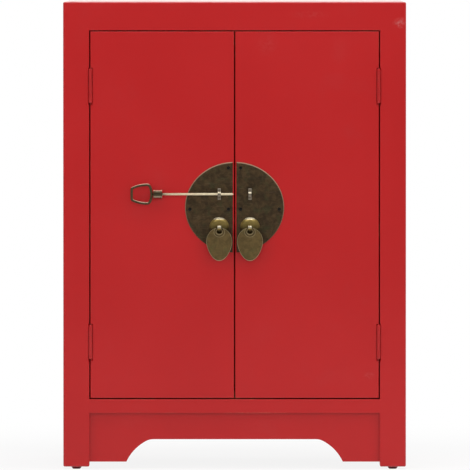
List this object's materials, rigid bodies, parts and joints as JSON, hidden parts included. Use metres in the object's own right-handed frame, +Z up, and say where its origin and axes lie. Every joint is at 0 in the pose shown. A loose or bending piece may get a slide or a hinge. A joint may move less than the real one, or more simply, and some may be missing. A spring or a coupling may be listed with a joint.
{
  "type": "bedside cabinet",
  "caption": "Red lacquered bedside cabinet with inset doors, a split round lock plate, drop pulls and a sliding locking pin, for storing things beside a bed.",
  "frame": {"origin": "on the floor, under the middle of the cabinet's box, its fittings included", "axes": "+Z up, +X to the right of someone facing the doors, +Y from the doors to the back"},
  "size_m": [0.44, 0.3634, 0.6],
  "materials": {
    "red_lacquer": "satin red lacquer, lightly worn",
    "inner_wood": "oiled wood",
    "painted_hinge": "painted over in red",
    "screw_steel": "dull steel",
    "glide": "dark matt",
    "dark_bronze": "dark mottled patina",
    "olive_bronze": "worn patina with bright rims",
    "worn_brass": "polished by use",
    "bright_brass": "polished",
    "tack": "blackened"
  },
  "bodies": {
    "cabinet": {"front_left_post": "red_lacquer", "front_right_post": "red_lacquer", "rear_left_post": "red_lacquer", "rear_right_post": "red_lacquer", "top_front_rail": "red_lacquer", "top_rear_rail": "red_lacquer", "top_left_rail": "red_lacquer", "top_right_rail": "red_lacquer", "bottom_front_rail": "red_lacquer", "bottom_rear_rail": "red_lacquer", "bottom_left_rail": "red_lacquer", "bottom_right_rail": "red_lacquer", "top_panel": "red_lacquer", "floor_panel": "inner_wood", "left_side_panel": "red_lacquer", "right_side_panel": "red_lacquer", "back_panel": "inner_wood", "back_panel_nails": "screw_steel", "front_apron": "red_lacquer", "left_apron": "red_lacquer", "right_apron": "red_lacquer", "foot_glides": "glide", "shelf": "inner_wood", "left_shelf_cleat": "inner_wood", "right_shelf_cleat": "inner_wood", "shelf_cleat_screws": "screw_steel", "top_door_stop": "inner_wood", "bottom_door_stop": "inner_wood", "hinge_pins": "painted_hinge", "frame_hinge_screws": "screw_steel", "upper_left_frame_leaf": "painted_hinge", "upper_right_frame_leaf": "painted_hinge", "lower_left_frame_leaf": "painted_hinge", "lower_right_frame_leaf": "painted_hinge"},
    "left_door": {"left_door_panel": "red_lacquer", "upper_left_door_leaf": "painted_hinge", "lower_left_door_leaf": "painted_hinge", "left_door_hinge_screws": "screw_steel", "left_lock_plate": "dark_bronze", "left_plate_tacks": "tack", "left_pin_keeper": "worn_brass", "left_pull_boss": "worn_brass", "left_pull_eye": "worn_brass"},
    "right_door": {"right_door_panel": "red_lacquer", "upper_right_door_leaf": "painted_hinge", "lower_right_door_leaf": "painted_hinge", "right_door_hinge_screws": "screw_steel", "right_lock_plate": "dark_bronze", "right_plate_tacks": "tack", "right_pin_keeper": "worn_brass", "right_pull_boss": "worn_brass", "right_pull_eye": "worn_brass"},
    "lock_pin": {"pin_rod": "bright_brass", "pin_ferrule": "olive_bronze", "pin_ring": "olive_bronze"},
    "left_pull": {"left_drop_pull": "olive_bronze"},
    "right_pull": {"right_drop_pull": "olive_bronze"}
  },
  "joints": [
    {"name": "left_door_swing", "type": "hinge", "parent": "cabinet", "child": "left_door", "pos_m": [-0.18495, -0.1683, 0.326], "axis": [0, 0, -1], "range_deg": [0, 160]},
    {"name": "right_door_swing", "type": "hinge", "parent": "cabinet", "child": "right_door", "pos_m": [0.18495, -0.1683, 0.326], "axis": [0, 0, 1], "range_deg": [0, 160]},
    {"name": "pin_slide", "type": "slide", "parent": "left_door", "child": "lock_pin", "axis": [1, 0, 0], "range_m": [-0.015, 0.06]},
    {"name": "left_pull_swing", "type": "hinge", "parent": "left_door", "child": "left_pull", "pos_m": [-0.0197, -0.178, 0.3107], "axis": [-1, 0, 0], "range_deg": [0, 110]},
    {"name": "right_pull_swing", "type": "hinge", "parent": "right_door", "child": "right_pull", "pos_m": [0.0197, -0.178, 0.3107], "axis": [-1, 0, 0], "range_deg": [0, 110]}
  ]
}
